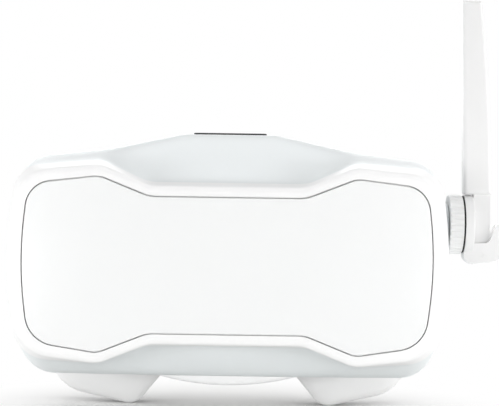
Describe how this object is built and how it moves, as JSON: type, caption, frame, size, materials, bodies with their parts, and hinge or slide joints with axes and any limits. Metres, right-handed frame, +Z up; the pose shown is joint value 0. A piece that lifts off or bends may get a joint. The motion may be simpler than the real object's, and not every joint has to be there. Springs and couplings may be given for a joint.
{
  "type": "FPV goggles",
  "caption": "White box-style FPV goggles with a waisted faceplate, keys on the hump, a hinged battery door, a face cushion and a folding side antenna.",
  "frame": {"origin": "the point between the wearer's eyes, on the optical axis, in the plane that the middle of the face cushion touches", "axes": "+X to the antenna's side, +Y from the display to the wearer, +Z up"},
  "size_m": [0.2022, 0.1124, 0.1713],
  "materials": {
    "shell_white": "white moulded plastic, satin",
    "frame_white": "white moulded plastic, fine texture",
    "antenna_white": "white moulded plastic, satin",
    "black_plastic": "black moulded plastic",
    "key_black": "black satin key cap",
    "circuit_board": "solder-masked board",
    "chip_black": "moulded chip case",
    "screw_steel": "blackened steel",
    "connector_metal": "stamped, tin-plated",
    "brass_gold": "turned, gold-plated",
    "copper": "drawn copper rod",
    "battery_wrap": "shrink-wrapped pack",
    "display_glass": "dark display glass",
    "lens_acrylic": "clear moulded acrylic",
    "light_pipe": "translucent light pipe",
    "cushion_foam": "foam under knitted fabric",
    "flap_rubber": "soft silicone",
    "cable_black": "coaxial lead jacket"
  },
  "bodies": {
    "goggles_body": {"front_shell": "shell_white", "faceplate": "shell_white", "main_housing": "shell_white", "key_strip": "black_plastic", "key_board": "circuit_board", "key_switches": "black_plastic", "key_board_screws": "screw_steel", "port_panel": "black_plastic", "power_switch": "black_plastic", "status_light": "light_pipe", "port_board": "circuit_board", "av_socket": "black_plastic", "usb_socket": "connector_metal", "card_socket": "connector_metal", "battery": "battery_wrap", "door_pin": "screw_steel", "display_tray": "black_plastic", "display_panel": "display_glass", "main_board": "circuit_board", "board_chips": "chip_black", "receiver_module": "connector_metal", "board_screws": "screw_steel", "case_screws": "screw_steel", "light_hood": "black_plastic", "lens": "lens_acrylic", "lens_ring": "black_plastic", "lens_ring_screws": "screw_steel", "face_frame": "frame_white", "frame_screws": "screw_steel", "cushion_backing": "black_plastic", "face_cushion": "cushion_foam", "nose_flap": "flap_rubber", "antenna_jack": "brass_gold", "jack_washer": "screw_steel", "jack_nut": "brass_gold", "coax_lead": "cable_black"},
    "channel_down_key": {"channel_down_key": "key_black"},
    "scan_key": {"scan_key": "key_black"},
    "channel_up_key": {"channel_up_key": "key_black"},
    "power_button": {"power_button": "key_black"},
    "battery_door": {"battery_door": "shell_white"},
    "antenna_collar": {"antenna_collar": "antenna_white"},
    "antenna_knuckle": {"antenna_knuckle": "antenna_white", "fold_pin": "screw_steel", "antenna_seal": "flap_rubber"},
    "antenna_mast": {"antenna_mast": "antenna_white", "antenna_element": "copper"}
  },
  "joints": [
    {"name": "channel_down_key_press", "type": "slide", "parent": "goggles_body", "child": "channel_down_key", "axis": [0, 0, -1], "range_m": [0, 0.0006], "stiffness_N_per_m": 300},
    {"name": "scan_key_press", "type": "slide", "parent": "goggles_body", "child": "scan_key", "axis": [0, 0, -1], "range_m": [0, 0.0006], "stiffness_N_per_m": 300},
    {"name": "channel_up_key_press", "type": "slide", "parent": "goggles_body", "child": "channel_up_key", "axis": [0, 0, -1], "range_m": [0, 0.0006], "stiffness_N_per_m": 300},
    {"name": "power_button_press", "type": "slide", "parent": "goggles_body", "child": "power_button", "axis": [1, 0, 0], "range_m": [0, 0.0005], "stiffness_N_per_m": 300},
    {"name": "battery_door_hinge", "type": "hinge", "parent": "goggles_body", "child": "battery_door", "pos_m": [0, -0.0286, -0.04835], "axis": [1, 0, 0], "range_deg": [0, 100]},
    {"name": "antenna_collar_spin", "type": "hinge", "parent": "goggles_body", "child": "antenna_collar", "pos_m": [0.091, -0.068, 0.0165], "axis": [1, 0, 0], "continuous": true},
    {"name": "antenna_swivel", "type": "hinge", "parent": "goggles_body", "child": "antenna_knuckle", "pos_m": [0.096, -0.068, 0.0165], "axis": [1, 0, 0], "range_deg": [-90, 90]},
    {"name": "antenna_fold", "type": "hinge", "parent": "antenna_knuckle", "child": "antenna_mast", "pos_m": [0.1014, -0.068, 0.0045], "axis": [0, 1, 0], "range_deg": [0, 90]}
  ]
}
